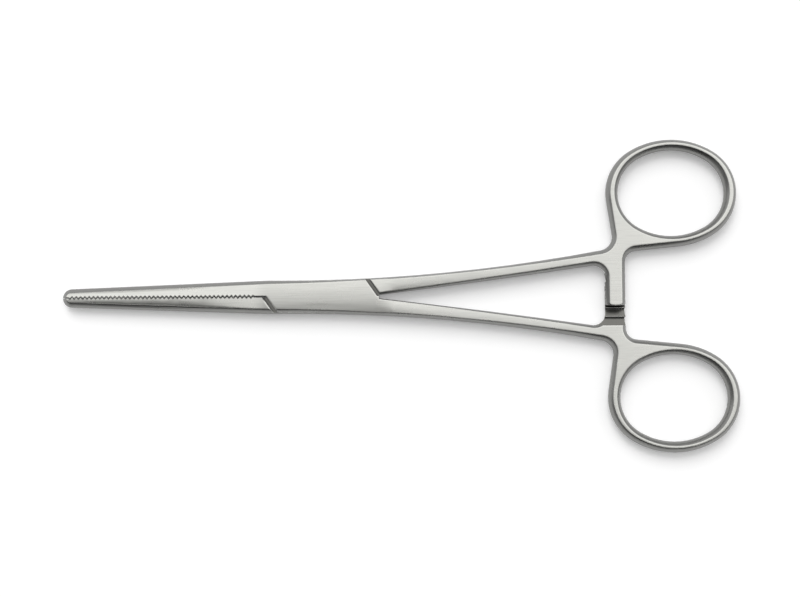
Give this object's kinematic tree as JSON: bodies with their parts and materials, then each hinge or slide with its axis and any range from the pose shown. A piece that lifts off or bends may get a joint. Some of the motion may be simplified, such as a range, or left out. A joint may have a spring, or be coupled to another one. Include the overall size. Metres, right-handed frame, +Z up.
{
  "type": "hemostat forceps",
  "caption": "Straight box-lock hemostat forceps with serrated jaws, ratchet arms and finger rings, lying closed.",
  "frame": {"origin": "where the pivot axis meets the underside of the box lock", "axes": "+X along the tool towards the finger rings, +Y towards the jaw of the box half, +Z up along the pivot axis"},
  "size_m": [0.1799, 0.083, 0.0043],
  "materials": {
    "satin_steel": "satin ground stainless steel",
    "pin_steel": "satin ground stainless steel, riveted flush"
  },
  "bodies": {
    "box_side": {"box_half": "satin_steel", "pivot_pin": "pin_steel"},
    "inner_side": {"inner_half": "satin_steel"}
  },
  "joints": [
    {"name": "box_lock_hinge", "type": "hinge", "parent": "box_side", "child": "inner_side", "pos_m": [0, 0, 0], "axis": [0, 0, 1], "range_deg": [0, 50]}
  ]
}
